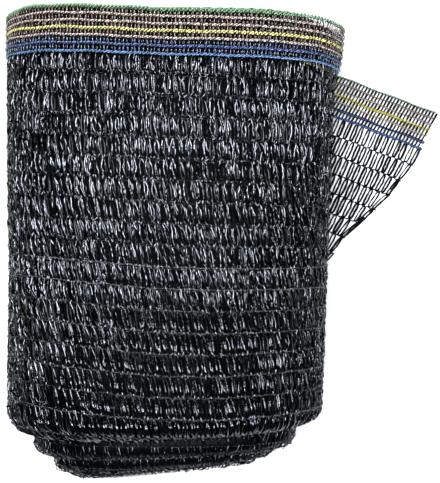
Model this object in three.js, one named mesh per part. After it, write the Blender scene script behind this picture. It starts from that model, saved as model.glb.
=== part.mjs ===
// A knitted shade cloth, folded along its length and wound into a soft flattened roll that lies on its back.
// The origin is the middle of the flat spot under it: +X runs across, +Y to the coloured edge and +Z up.
import * as THREE from "three";

// The knit, in millimetres.
const ROW_PITCH = 13.2;
const LOOP_PITCH = 4.8;
const LOOP_GAP = 3.3;
const ROW_BAR = 2.2;
const SHEET_THICKNESS = 1.5;
const CHAIN_RADIUS = 0.75;
const CLEARANCE = 0.3;

// The oval that the turns make, seen along the roll.
const LEFT_REACH = 103.3;
const RIGHT_REACH = 107.3;
const RIGHT_TAPER = 0.035;
const RIGHT_FLARE = 5;
const FLARE_START = 95;
const HALF_DEPTH = 48.5;
const AXIS_HEIGHT = 46.5;
const OVAL_POWER = 2.4;
const POINTS_AROUND = 48;

// The outer turn and its coloured edge.
const EDGE_LINE = 151;
const BODY_ROWS = 16;
const RIB_DEPTH = 1.1;
const BAND_INSET = 1.6;
const BAND_FLOOR = 2.1;
const COLLAR_WALL = 2;
const ROW_SLOPE = 0.018;
const TOP_ROUNDNESS = 2;
const FOLD_STEPS = 3;
const CORE_INSET = 46;

// Past the outer group the turns lie closer together through the depth than at the sides.
const CLOSE_START = 17;
const CLOSE_SHARE = 0.72;

// Groups of turns from the outside in. Each starts at its inset and has slid farther towards its folds.
const TIERS = [
  { inset: 0, top: 138, foldLeft: -118, foldRight: -111.5, roundness: 11 },
  { inset: 17, top: 126, foldLeft: -133, foldRight: -126, roundness: 8 },
  { inset: 30, top: 116, foldLeft: -146.5, foldRight: -132, roundness: 7 },
  { inset: 40, top: 110, foldLeft: -152, foldRight: -135, roundness: 5 },
];

// Soft swells of the wrapped cloth: where round the oval, where along it, how wide and how high.
const SWELLS = [
  { turn: 128, along: 62, wideTurn: 26, wideAlong: 55, rise: 1.6 },
  { turn: 84, along: 10, wideTurn: 20, wideAlong: 70, rise: -1.8 },
  { turn: 52, along: -48, wideTurn: 22, wideAlong: 45, rise: 1.5 },
  { turn: 118, along: -78, wideTurn: 24, wideAlong: 36, rise: 1.4 },
  { turn: 160, along: -20, wideTurn: 22, wideAlong: 40, rise: -1.3 },
  { turn: 22, along: 70, wideTurn: 20, wideAlong: 45, rise: 1.2 },
];

// The seven knitted chains of the coloured edge, with how far each lies across the cloth from the edge.
const EDGE_CHAINS = [
  { name: "edge_green", across: 0, colour: 0x4f9a63 },
  { name: "edge_brown_outer", across: 4.3, colour: 0x8a6e60 },
  { name: "edge_brown_middle", across: 8.8, colour: 0x8a6e60 },
  { name: "edge_yellow", across: 13.2, colour: 0xd9c659 },
  { name: "edge_brown_inner", across: 17.6, colour: 0x8a6e60 },
  { name: "edge_blue_dark", across: 22.5, colour: 0x28408c },
  { name: "edge_blue_light", across: 27.4, colour: 0x3d6fc4 },
];
const BAND_WIDTH = EDGE_CHAINS[EDGE_CHAINS.length - 1].across;

// How far the coloured edge stands up or hangs back, by the angle round the oval. It fades along the roll.
const EDGE_WAVE = [
  { turn: 0, rise: -5.5 },
  { turn: 18, rise: -4 },
  { turn: 35, rise: -1.5 },
  { turn: 60, rise: -1 },
  { turn: 90, rise: -1.4 },
  { turn: 105, rise: 0 },
  { turn: 124, rise: 1.5 },
  { turn: 162, rise: 2.3 },
  { turn: 200, rise: 2 },
  { turn: 270, rise: 0 },
  { turn: 330, rise: -4 },
  { turn: 360, rise: -5.5 },
];
const WAVE_FADE = 90;

// The loose end of the outer turn, a single layer on the ground. It slants away from the roll.
const END_CORNER = { x: 191.6, y: 96 };
const END_SLANT = -20.7;
const END_TUCK = { edge: 142.4, fold: 86.5, across: 168 };
const END_CHAIN_TUCK = 112;
const END_ROWS = 8;
const END_CLEAR_OF_ROLL = 98;
const END_LEAN = 0.16;
const GAP_MARGIN = 2.4;

// How far the cut edge of the loose end draws back, by the distance across the cloth.
const CUT_LINE = [
  { across: 0, back: 0 },
  { across: 28, back: 1 },
  { across: 41, back: 3 },
  { across: 66, back: 10.5 },
  { across: 88, back: 20.5 },
  { across: 108, back: 31 },
  { across: 130, back: 36.5 },
];

const BLACK = 0x17181a;

// A smooth rise from 0 to 1 between two values.
function smoothRise(value, start, end) {
  return THREE.MathUtils.smoothstep(value, start, end);
}

// The roll's reach to its right, which tapers to the folds and flares at the coloured edge.
function rightReach(along) {
  return RIGHT_REACH + RIGHT_TAPER * along + RIGHT_FLARE * smoothRise(along, FLARE_START, EDGE_LINE);
}

// The height of all swells at an angle round the oval, in degrees, and a place along the roll.
function swellAt(turn, along) {
  let rise = 0;
  for (const swell of SWELLS) {
    const away = Math.min(Math.abs(turn - swell.turn), 360 - Math.abs(turn - swell.turn));
    const round = away / swell.wideTurn;
    const length = (along - swell.along) / swell.wideAlong;
    rise += swell.rise * Math.exp(-round * round - length * length);
  }
  return rise;
}

// How much of an inset is taken from the depth of the oval.
function depthInset(inset) {
  return inset < CLOSE_START ? inset : CLOSE_START + CLOSE_SHARE * (inset - CLOSE_START);
}

// A point of the oval, inset from the outer turn and kept above a floor height.
function ovalPoint(index, inset, along, floor) {
  const turn = (index / POINTS_AROUND) * 2 * Math.PI;
  const cos = Math.cos(turn);
  const sin = Math.sin(turn);
  const drawn = inset - swellAt(THREE.MathUtils.radToDeg(turn), along);
  const halfWidth = (cos > 0 ? rightReach(along) : LEFT_REACH) - drawn;
  const halfDepth = HALF_DEPTH - depthInset(drawn);
  const x = Math.sign(cos) * halfWidth * Math.abs(cos) ** (2 / OVAL_POWER);
  const z = AXIS_HEIGHT + Math.sign(sin) * halfDepth * Math.abs(sin) ** (2 / OVAL_POWER);
  return { x, z: Math.max(z, floor) };
}

// A value read from a short table by straight steps between its rows.
function readTable(rows, key, value, place) {
  for (let index = 1; index < rows.length; index += 1) {
    const from = rows[index - 1];
    const to = rows[index];
    if (place <= to[key]) {
      return THREE.MathUtils.mapLinear(place, from[key], to[key], from[value], to[value]);
    }
  }
  return rows[rows.length - 1][value];
}

// How far a point near the coloured edge is moved along the roll by the edge's wave.
function waveAt(index, along) {
  const rise = readTable(EDGE_WAVE, "turn", "rise", (index / POINTS_AROUND) * 360);
  return rise * smoothRise(along, EDGE_LINE - WAVE_FADE, EDGE_LINE);
}

// A closed ring of points on the roll. Rows slope a little down to the right on the upper face, and a
// fold's ring takes its place along the roll from placeAt.
function ovalRing({ inset, along, floor = 0, placeAt = null }) {
  const ring = [];
  for (let index = 0; index < POINTS_AROUND; index += 1) {
    const { x, z } = ovalPoint(index, inset, along, floor);
    const slope = (ROW_SLOPE * x * z) / (2 * HALF_DEPTH);
    const y = placeAt ? placeAt(x) : along - slope + waveAt(index, along);
    ring.push(new THREE.Vector3(x, y, z));
  }
  return ring;
}

// A ring near the coloured edge, which is lifted off the ground and keeps the cloth's thickness there.
function bandRing(inset, along) {
  return ovalRing({ inset, along, floor: BAND_FLOOR + inset - BAND_INSET });
}

// A closed skin over rings of equal count, joined in order. Ends are capped unless the last joins the first.
function skinRings(rings, isLoop) {
  const count = rings[0].length;
  const positions = [];
  const triangles = [];
  for (const ring of rings) {
    for (const point of ring) {
      positions.push(point.x, point.y, point.z);
    }
  }
  const bands = isLoop ? rings.length : rings.length - 1;
  for (let band = 0; band < bands; band += 1) {
    const start = band * count;
    const next = ((band + 1) % rings.length) * count;
    for (let index = 0; index < count; index += 1) {
      const other = (index + 1) % count;
      triangles.push(start + index, start + other, next + index);
      triangles.push(start + other, next + other, next + index);
    }
  }
  if (!isLoop) {
    capRing(rings[0], 0, false, positions, triangles);
    capRing(rings[rings.length - 1], (rings.length - 1) * count, true, positions, triangles);
  }
  const geometry = new THREE.BufferGeometry();
  geometry.setAttribute("position", new THREE.Float32BufferAttribute(positions, 3));
  geometry.setIndex(triangles);
  geometry.computeVertexNormals();
  return geometry;
}

// A fan of triangles over one ring, from a point in its middle.
function capRing(ring, start, isLast, positions, triangles) {
  const middle = new THREE.Vector3();
  for (const point of ring) {
    middle.addScaledVector(point, 1 / ring.length);
  }
  const centre = positions.length / 3;
  positions.push(middle.x, middle.y, middle.z);
  for (let index = 0; index < ring.length; index += 1) {
    const here = start + index;
    const after = start + ((index + 1) % ring.length);
    triangles.push(centre, isLast ? here : after, isLast ? after : here);
  }
}

// A mesh with its own plain material.
function namedMesh(name, geometry, colour, roughness) {
  const material = new THREE.MeshStandardMaterial({ color: colour, roughness, metalness: 0 });
  const mesh = new THREE.Mesh(geometry, material);
  mesh.name = name;
  return mesh;
}

// The tops of the turns, from the core out to the wall of the outer turn, which stands above the rest.
function topRings() {
  const rings = [bandRing(CORE_INSET, TIERS[TIERS.length - 1].top)];
  for (let index = TIERS.length - 1; index >= 0; index -= 1) {
    const { inset, top } = TIERS[index];
    if (index === 0) {
      rings.push(bandRing(BAND_INSET + COLLAR_WALL, top));
    } else {
      rings.push(bandRing(inset + TOP_ROUNDNESS, top));
      rings.push(bandRing(inset, top - TOP_ROUNDNESS));
      rings.push(bandRing(inset - TOP_ROUNDNESS / 2, TIERS[index - 1].top));
    }
  }
  const rim = EDGE_LINE - CHAIN_RADIUS - CLEARANCE;
  rings.push(bandRing(BAND_INSET + COLLAR_WALL, rim));
  rings.push(bandRing(BAND_INSET, rim));
  return rings;
}

// The outer wall, drawn in at each knitted chain, so that the cloth puffs between them.
function wallRings() {
  const bandEnd = EDGE_LINE - BAND_WIDTH;
  const rings = [bandRing(BAND_INSET, bandEnd - 2)];
  for (let row = 0; row < BODY_ROWS; row += 1) {
    const chain = bandEnd - (row + 1) * ROW_PITCH;
    rings.push(ovalRing({ inset: 0, along: chain + ROW_PITCH / 2 }));
    rings.push(ovalRing({ inset: RIB_DEPTH, along: chain }));
  }
  return rings;
}

// Where a place across the roll lies between its left and right reach, from 0 to 1.
function shareAcross(x) {
  return (x + LEFT_REACH) / (LEFT_REACH + RIGHT_REACH);
}

// The folded edges at the foot of each group of turns, as round steps down to the core.
function foldRings() {
  const rings = [];
  for (const { inset, foldLeft, foldRight, roundness } of TIERS) {
    const along = (foldLeft + foldRight) / 2;
    for (let step = 0; step <= FOLD_STEPS; step += 1) {
      const angle = (step / FOLD_STEPS) * (Math.PI / 2);
      const drawn = roundness * (1 - Math.cos(angle));
      const lift = roundness * (1 - Math.sin(angle));
      const placeAt = (x) => THREE.MathUtils.lerp(foldLeft, foldRight, shareAcross(x)) + lift;
      rings.push(ovalRing({ inset: inset + drawn, along, placeAt }));
    }
  }
  return rings;
}

// The wound form of all turns as one solid.
function makeRoll() {
  const rings = [...topRings(), ...wallRings(), ...foldRings()];
  return namedMesh("roll", skinRings(rings, false), BLACK, 0.45);
}

// One coloured chain round the roll, a thin cord of four sides seated just off the cloth.
function makeRollChain({ name, across, colour }) {
  const isEdge = across === 0;
  const inset = isEdge ? BAND_INSET + COLLAR_WALL / 2 : BAND_INSET - CLEARANCE - CHAIN_RADIUS;
  const path = bandRing(inset, EDGE_LINE - across);
  const rings = path.map((point, index) => {
    const before = path[(index + path.length - 1) % path.length];
    const after = path[(index + 1) % path.length];
    const outward = new THREE.Vector3(after.z - before.z, 0, before.x - after.x).normalize();
    return [0, 1, 2, 3].map((corner) => {
      const angle = (corner * Math.PI) / 2;
      const place = point.clone().addScaledVector(outward, CHAIN_RADIUS * Math.cos(angle));
      place.y += CHAIN_RADIUS * Math.sin(angle);
      return place;
    });
  });
  return namedMesh(`roll_${name}`, skinRings(rings, true), colour, 0.5);
}

// How far the cut line has drawn back at a distance across the cloth.
function cutBack(across) {
  return readTable(CUT_LINE, "across", "back", across);
}

// The outline of one gap between two legs of a loop, pointed at both chains.
function gapOutline(along, across) {
  const halfGap = LOOP_GAP / 2;
  const halfRow = (ROW_PITCH - ROW_BAR) / 2;
  const corners = [
    [-halfGap, -halfRow / 2],
    [0, -halfRow],
    [halfGap, -halfRow / 2],
    [halfGap, halfRow / 2],
    [0, halfRow],
    [-halfGap, halfRow / 2],
  ];
  return new THREE.Path(corners.map(([x, y]) => new THREE.Vector2(along + x + END_LEAN * y, -across + y)));
}

// Every gap of the loose end that lies clear of the roll, row by row from its cut edge.
function looseEndGaps() {
  const slant = THREE.MathUtils.degToRad(END_SLANT);
  const gaps = [];
  for (let row = 0; row < END_ROWS; row += 1) {
    const across = BAND_WIDTH + (row + 0.5) * ROW_PITCH;
    const farBack = cutBack(across + ROW_PITCH / 2);
    let along = -farBack - GAP_MARGIN;
    while (END_CORNER.x + along * Math.cos(slant) + across * Math.sin(slant) > END_CLEAR_OF_ROLL) {
      gaps.push(gapOutline(along, across));
      along -= LOOP_PITCH;
    }
  }
  return gaps;
}

// The loose end: one layer of cloth, flat on the ground, cut through between its loops.
function makeLooseEnd() {
  const outline = CUT_LINE.map(({ across, back }) => new THREE.Vector2(-back, -across));
  outline.push(new THREE.Vector2(-END_TUCK.fold, -END_TUCK.across));
  outline.push(new THREE.Vector2(-END_TUCK.edge, 0));
  const shape = new THREE.Shape(outline);
  shape.holes.push(...looseEndGaps());
  const geometry = new THREE.ExtrudeGeometry(shape, { depth: SHEET_THICKNESS, bevelEnabled: false });
  return namedMesh("loose_end", geometry, BLACK, 0.45);
}

// One coloured chain along the loose end, seated just above the cloth.
function makeLooseChain({ name, across, colour }) {
  const length = END_CHAIN_TUCK - cutBack(across);
  const geometry = new THREE.CylinderGeometry(CHAIN_RADIUS, CHAIN_RADIUS, length, 6);
  geometry.rotateZ(Math.PI / 2);
  const mesh = namedMesh(`loose_${name}`, geometry, colour, 0.5);
  const middle = length / 2 - END_CHAIN_TUCK;
  mesh.position.set(middle, -across - CHAIN_RADIUS, SHEET_THICKNESS + CLEARANCE + CHAIN_RADIUS);
  return mesh;
}

const looseEnd = new THREE.Group();
looseEnd.position.set(END_CORNER.x, END_CORNER.y, 0);
looseEnd.rotation.z = THREE.MathUtils.degToRad(END_SLANT);
looseEnd.add(makeLooseEnd(), ...EDGE_CHAINS.map(makeLooseChain));

const shadeCloth = new THREE.Group();
shadeCloth.add(makeRoll(), ...EDGE_CHAINS.map(makeRollChain), looseEnd);

export default shadeCloth;
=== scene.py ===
"""Dresses a rolled shade cloth: a black knitted net, folded and wound into a soft roll, on a pale floor.

Sizes are in millimetres, in the part's own frame: +X across the roll to its loose end, +Y along it to the
coloured edge and +Z up. A place on the cloth is given as the distance around the roll and the distance down
from the coloured edge. Meshes are made in metres.
"""
import logging
import math
from dataclasses import dataclass, field, replace
from enum import Enum
from typing import ClassVar

import bpy
import numpy as np
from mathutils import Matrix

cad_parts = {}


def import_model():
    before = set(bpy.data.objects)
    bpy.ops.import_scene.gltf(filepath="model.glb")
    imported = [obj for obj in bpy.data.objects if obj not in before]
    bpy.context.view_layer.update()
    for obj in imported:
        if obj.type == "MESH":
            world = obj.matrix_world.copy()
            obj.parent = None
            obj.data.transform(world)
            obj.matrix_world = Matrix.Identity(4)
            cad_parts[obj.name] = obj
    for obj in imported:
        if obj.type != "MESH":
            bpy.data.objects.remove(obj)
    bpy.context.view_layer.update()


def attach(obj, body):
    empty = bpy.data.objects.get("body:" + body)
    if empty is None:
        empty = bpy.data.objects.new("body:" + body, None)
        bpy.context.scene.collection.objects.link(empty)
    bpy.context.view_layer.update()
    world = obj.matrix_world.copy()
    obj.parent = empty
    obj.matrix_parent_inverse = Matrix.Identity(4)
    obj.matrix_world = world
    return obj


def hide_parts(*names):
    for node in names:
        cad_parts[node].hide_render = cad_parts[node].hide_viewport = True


LOG = logging.getLogger("shade_cloth")
MM = 0.001
TINY = 1e-9
YARN_MAP = "OFBake"
THREAD_TONE = 0.3
ROOT = "root"
# Short names for types.
Colour = tuple[float, float, float]
Point = tuple[float, float, float]
Span = tuple[float, float]
Array = np.ndarray
Table = tuple[tuple[float, float], ...]
Grid = tuple[tuple[float, Table], ...]
Socket = bpy.types.NodeSocket
Inputs = dict[str | int, object]
# A table with no rise all round the oval.
LEVEL: Table = ((0.0, 0.0), (360.0, 0.0))


class Slot(Enum):
    """The record's material slots."""

    BLACK = "knit_black"
    GREEN = "edge_green"
    BROWN = "edge_brown"
    YELLOW = "edge_yellow"
    BLUE = "edge_blue"


class Section(Enum):
    """How a strand is cut across."""

    TAPE = "open, three points wide and slightly cupped"
    FLAT_TUBE = "closed, four corners, wider than thick"


def smooth_rise(value: Array, start: float | Array, end: float | Array) -> Array:
    """Rises smoothly from 0 to 1 between two values.

    Args:
        value: Where to read the rise.
        start: Value at which it leaves 0.
        end: Value at which it reaches 1.

    Returns:
        The rise, in the shape of value.
    """
    share = np.clip((value - start) / (end - start), 0.0, 1.0)
    return share * share * (3.0 - 2.0 * share)


def read_table(table: Table, place: Array) -> Array:
    """Returns a table's values at places, by straight steps between its rows."""
    places, values = zip(*table)
    return np.interp(place, places, values)


def read_grid(grid: Grid, down: Array, turn: Array) -> Array:
    """Reads a grid of tables, by straight steps between them too.

    Args:
        grid: Distances from the coloured edge, each with its table by the angle round the oval.
        down: Distances from the coloured edge.
        turn: Angles round the oval.

    Returns:
        The grid's values.
    """
    levels = [level for level, _ in grid]
    total = np.zeros(np.broadcast(down, turn).shape)
    for (_, table), only in zip(grid, np.eye(len(grid))):
        total = total + np.interp(down, levels, only) * read_table(table, turn)
    return total


def unit(vectors: Array) -> Array:
    """Returns vectors scaled to a length of 1."""
    return vectors / np.maximum(np.linalg.norm(vectors, axis=-1, keepdims=True), TINY)


def path_length(points: Array) -> float:
    """Returns the length of a path of points."""
    return float(np.linalg.norm(np.diff(points, axis=0), axis=1).sum())


def tube_corners(middle: Array, radius: float, sides: int, fall: Array, out: Array) -> Array:
    """Finds the corners of a tube along a line.

    Args:
        middle: The line's points.
        radius: The tube's radius.
        sides: How many corners it has across.
        fall: The direction down the cloth at each point.
        out: The direction out of the cloth at each point.

    Returns:
        The corners of a single strand, by strand, station, corner and coordinate.
    """
    corners = []
    for corner in range(sides):
        angle = 2.0 * math.pi * corner / sides
        corners.append(middle + radius * (fall * math.cos(angle) + out * math.sin(angle)))
    return np.stack(corners, axis=1)[None]


class NodeBoard:
    """A material's node tree, with short calls to add and join nodes."""

    def __init__(self, name: str) -> None:
        """Starts a material with its principled shader.

        Args:
            name: The material's name.
        """
        self.material = bpy.data.materials.new(name)
        self.material.use_nodes = True
        self.tree = self.material.node_tree
        self.shader = self.tree.nodes["Principled BSDF"]

    def fill(self, node: bpy.types.Node, inputs: Inputs) -> None:
        """Sets a node's inputs.

        Args:
            node: The node.
            inputs: Numbers, colours or sockets, by the input's name or place.
        """
        for key, value in inputs.items():
            if isinstance(value, Socket):
                self.tree.links.new(value, node.inputs[key])
            else:
                node.inputs[key].default_value = value

    def add(self, kind: str, inputs: Inputs, **settings: object) -> Socket:
        """Adds a node.

        Args:
            kind: The node's type, without its leading ShaderNode.
            inputs: Numbers, colours or sockets, by the input's name or place.
            **settings: Values for the node's own properties.

        Returns:
            The first of its outputs that is in use.
        """
        node = self.tree.nodes.new(f"ShaderNode{kind}")
        for key, value in settings.items():
            setattr(node, key, value)
        self.fill(node, inputs)
        return next(output for output in node.outputs if output.enabled)

    def math(self, operation: str, first: object, second: object = 0.0) -> Socket:
        """Returns the result of an operation on two numbers or sockets."""
        return self.add("Math", {0: first, 1: second}, operation=operation)

    def ramp(self, factor: Socket, stops: list[tuple[float, Colour]], mode: str = "LINEAR") -> Socket:
        """Adds a colour ramp.

        Args:
            factor: The socket that drives it.
            stops: Places from 0 to 1, each with its colour.
            mode: How the ramp runs between its stops.

        Returns:
            The ramp's colour.
        """
        colour = self.add("ValToRGB", {"Fac": factor})
        ramp = colour.node.color_ramp
        ramp.interpolation = mode
        while len(ramp.elements) < len(stops):
            ramp.elements.new(1.0)
        for element, (place, stop) in zip(ramp.elements, stops):
            element.position = place
            element.color = (*stop, 1.0)
        return colour

    def noise(self, vector: Socket, patches: Point, detail: float) -> Socket:
        """Returns a noise pattern with a number of patches along each coordinate."""
        stretched = self.add("Mapping", {"Vector": vector, "Scale": patches})
        return self.add("TexNoise", {"Vector": stretched, "Scale": 1.0, "Detail": detail})

    def read_map(self) -> tuple[Socket, Socket, Socket]:
        """Adds the piece's own map.

        Returns:
            The place on the map and its two coordinates.
        """
        place = self.add("UVMap", {}, uv_map=YARN_MAP)
        first = self.add("SeparateXYZ", {"Vector": place})
        return place, first, first.node.outputs["Y"]

    def mix(self, factor: Socket, first: Socket, second: Socket) -> Socket:
        """Returns a blend of two colours, which is the first one where the factor is 0."""
        return self.add("Mix", {"Factor": factor, "A": first, "B": second}, data_type="RGBA")

    def spread(self, value: Socket, low: float, high: float) -> Socket:
        """Returns a value from 0 to 1 mapped onto a range."""
        return self.add("MapRange", {"Value": value, "To Min": low, "To Max": high})

    def bump(self, height: Socket, strength: float, distance: float) -> Socket:
        """Returns the surface's direction as raised by a height, over a distance in metres."""
        return self.add("Bump", {"Height": height, "Strength": strength, "Distance": distance})


@dataclass(frozen=True)
class YarnFinish:
    """Drawn plastic yarn whose tone changes from strand to strand and along each strand."""

    SHADED: ClassVar[float] = 0.7
    OWN_SHARE: ClassVar[float] = 0.6
    MOTTLE_SHARE: ClassVar[float] = 0.4
    MOTTLES_ACROSS: ClassVar[float] = 60.0
    MOTTLE_DETAIL: ClassVar[float] = 2.0
    GRAINS_ACROSS: ClassVar[float] = 90.0
    GRAINS_TO_MOTTLE: ClassVar[float] = 2.5
    GRAIN_DETAIL: ClassVar[float] = 3.0
    CRINKLE_HEIGHT: ClassVar[float] = 0.0004

    name: str
    dark: Colour
    light: Colour
    smoothest: float = 0.15
    roughest: float = 0.35
    gloss: float = 0.7
    crinkle: float = 0.15
    dark_until: float = 0.15
    light_from: float = 0.8
    mottles: float = 5.0
    shine: Colour = (1.0, 1.0, 1.0)

    def colour(self, board: NodeBoard, tone: Socket, along: Socket) -> Socket:
        """Adds the yarn's colour.

        Args:
            board: The material's nodes.
            tone: The yarn's tone, from 0 to 1.
            along: The share of the strand's length.

        Returns:
            The colour's socket.
        """
        return board.ramp(tone, [(self.dark_until, self.dark), (self.light_from, self.light)])

    def shaded_copy(self, power: float) -> "YarnFinish":
        """Makes a darker copy of the same yarn, as painted shade.

        Args:
            power: How much darker and richer its painted shade makes its colours.

        Returns:
            The darker finish, with its shade painted in.
        """
        dark = tuple(self.SHADED * value**power for value in self.dark)
        light = tuple(self.SHADED * value**power for value in self.light)
        return replace(self, name=f"{self.name}_deep", dark=dark, light=light)

    def material(self) -> bpy.types.Material:
        """Makes the finish as a material that reads the strands' own map.

        Returns:
            The new material.
        """
        board = NodeBoard(self.name)
        place, own, along = board.read_map()
        mottle = board.noise(place, (self.MOTTLES_ACROSS, self.mottles, 1.0), self.MOTTLE_DETAIL)
        grains = (self.GRAINS_ACROSS, self.GRAINS_TO_MOTTLE * self.mottles, 1.0)
        grain = board.noise(place, grains, self.GRAIN_DETAIL)
        own = board.math("MULTIPLY", own, self.OWN_SHARE)
        tone = board.math("ADD", own, board.math("MULTIPLY", mottle, self.MOTTLE_SHARE))
        board.fill(board.shader, {
            "Base Color": self.colour(board, tone, along),
            "Roughness": board.spread(tone, self.smoothest, self.roughest),
            "Specular IOR Level": self.gloss,
            "Specular Tint": (*self.shine, 1.0),
            "Normal": board.bump(grain, self.crinkle, self.CRINKLE_HEIGHT),
        })
        return board.material


@dataclass(frozen=True)
class BarFinish(YarnFinish):
    """The yarn of the bars across the coloured edge, which turns from tan to blue on its way down."""

    far_light: Colour = (0.030, 0.045, 0.110)
    turns_at: float = 0.65

    def colour(self, board: NodeBoard, tone: Socket, along: Socket) -> Socket:
        """Adds the bar's colour.

        Args:
            board: The material's nodes.
            tone: The yarn's tone, from 0 to 1.
            along: How far down the bar it is, from 0 to 1.

        Returns:
            The colour's socket.
        """
        near = super().colour(board, tone, along)
        far = board.ramp(tone, [(self.dark_until, self.dark), (self.light_from, self.far_light)])
        return board.mix(board.math("GREATER_THAN", along, self.turns_at), near, far)


@dataclass(frozen=True)
class EdgeYarn(YarnFinish):
    """The coloured yarn of the edge, mottled along its stitches."""

    dark_until: float = 0.38
    light_from: float = 0.6
    mottles: float = 220.0


@dataclass(frozen=True)
class ClothFinish:
    """The knit of the inner turns: fine loops between chain rows, and coloured lines along one edge,
    darkened as painted shade.
    """

    name: str
    flat_length: float
    flat_width: float
    row_pitch: float
    loop_pitch: float
    lines: tuple[tuple[float, Colour], ...]
    line_width: float = 1.8
    # Painted highlight and shade: the knit's colour runs from the ground colour in the hollows to the raised
    # colour on the loops.
    ground: Colour = (0.0008, 0.0008, 0.0008)
    raised: Colour = (0.0012, 0.0012, 0.0016)
    ground_until: float = 0.1
    raised_from: float = 0.9
    patch: float = 9.0
    patch_detail: float = 3.0
    smoothest: float = 0.4
    roughest: float = 0.7
    gloss: float = 0.02
    relief: float = 0.8
    relief_height: float = 0.0008

    def material(self) -> bpy.types.Material:
        """Makes the finish as a material that reads the cloth's own map, laid out at its cut size.

        Returns:
            The new material.
        """
        board = NodeBoard(self.name)
        place, along, across = board.read_map()
        along = board.math("MULTIPLY", along, self.flat_length)
        across = board.math("MULTIPLY", across, self.flat_width)
        legs = board.math("SINE", board.math("MULTIPLY", along, 2.0 * math.pi / self.loop_pitch))
        rows = board.math("SINE", board.math("MULTIPLY", across, math.pi / self.row_pitch))
        loops = board.math("MULTIPLY", board.math("ABSOLUTE", rows), board.math("ADD", legs, 1.0))
        patches = (self.flat_length / self.patch, self.flat_width / self.patch, 1.0)
        uneven = board.noise(place, patches, self.patch_detail)
        height = board.math("MULTIPLY", loops, uneven)
        # The height paints the raised loops lighter and the hollows between them darker: painted highlight
        # and painted shade.
        knit = board.ramp(height, [(self.ground_until, self.ground), (self.raised_from, self.raised)])
        band = self.lines[-1][0] + self.line_width
        lines = board.ramp(board.math("DIVIDE", across, band), self.line_stops(band), "CONSTANT")
        board.fill(board.shader, {
            "Base Color": board.mix(board.math("LESS_THAN", across, band), knit, lines),
            "Roughness": board.spread(uneven, self.smoothest, self.roughest),
            "Specular IOR Level": self.gloss,
            "Normal": board.bump(height, self.relief, self.relief_height),
        })
        return board.material

    def line_stops(self, band: float) -> list[tuple[float, Colour]]:
        """Finds the ramp stops of the coloured lines, each with the ground after it.

        Args:
            band: The width of all the lines together.

        Returns:
            The stops, over the band's width.
        """
        stops = []
        for place, colour in self.lines:
            stops.append((place / band, colour))
            stops.append(((place + self.line_width) / band, self.ground))
        return stops


@dataclass(frozen=True)
class EdgeChain:
    """One coloured chain: its place from the edge, its slot and finish, its bulk and its painted shade on
    the loose end.
    """

    name: str
    across: float
    slot: Slot
    finish: YarnFinish
    bulk: float
    loose_bulk: float
    loose_shade: float


# The finishes.
BLUE_SHINE = (0.86, 0.90, 1.0)
NEAR_BLACK = (0.0005, 0.0005, 0.0005)
BLACK_TAPE = YarnFinish(
    "black_tape", NEAR_BLACK, (0.0015, 0.0015, 0.0025),
    smoothest=0.05, roughest=0.14, gloss=0.9, crinkle=0.3, shine=BLUE_SHINE,
)
LOW_TAPE = replace(BLACK_TAPE, name="low_tape", roughest=0.11, gloss=1.0)
FOLD_TAPE = replace(BLACK_TAPE, name="fold_tape", gloss=0.6)
# The under layer's black tape, painted darker than the outer layer's: painted shade under the outer layer.
SHADED_UNDER_TAPE = YarnFinish(
    "under_tape", NEAR_BLACK, (0.0010, 0.0010, 0.0015),
    smoothest=0.12, roughest=0.3, gloss=0.3, crinkle=0.2, shine=BLUE_SHINE,
)
LOOSE_TAPE = YarnFinish(
    "loose_tape", NEAR_BLACK, (0.0020, 0.0020, 0.0020), smoothest=0.3, roughest=0.5, gloss=0.05, crinkle=0.2
)
# The black chain yarn, whose light tones are pale grey: a painted highlight, used on the chains of the lower
# rows.
HIGHLIT_BLACK_CORD = YarnFinish(
    "black_cord", (0.001, 0.001, 0.001), (0.300, 0.300, 0.310),
    gloss=0.5, crinkle=0.2, dark_until=0.44, light_from=0.66, mottles=200.0,
)
EDGE_BAR = BarFinish(
    "edge_bar", (0.002, 0.002, 0.002), (0.150, 0.098, 0.080),
    smoothest=0.06, roughest=0.18, gloss=1.0, crinkle=0.2, dark_until=0.4, mottles=16.0,
)
# The under layer's bars, painted darker than the outer bars, most of all where they turn blue: painted shade
# under the outer layer.
SHADED_UNDER_BAR = replace(
    EDGE_BAR, name="under_bar", light=(0.130, 0.088, 0.072), far_light=(0.010, 0.015, 0.040),
    smoothest=0.08, roughest=0.22, gloss=0.7, light_from=0.7,
)
# The green edge yarn of the under layer, painted darker and olive: painted shade under the outer layer.
SHADED_OLIVE_YARN = EdgeYarn(
    "olive_yarn", (0.020, 0.024, 0.005), (0.130, 0.125, 0.035), dark_until=0.15, light_from=0.8
)
GREEN_YARN = EdgeYarn("green_yarn", (0.004, 0.030, 0.008), (0.160, 0.330, 0.165))
BROWN_YARN = EdgeYarn("brown_yarn", (0.070, 0.050, 0.040), (0.800, 0.670, 0.590))
YELLOW_YARN = EdgeYarn("yellow_yarn", (0.120, 0.090, 0.012), (0.850, 0.780, 0.300))
NAVY_YARN = EdgeYarn("navy_yarn", (0.004, 0.012, 0.050), (0.140, 0.210, 0.460))
BLUE_YARN = EdgeYarn("blue_yarn", (0.008, 0.030, 0.110), (0.190, 0.350, 0.620))

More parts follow.
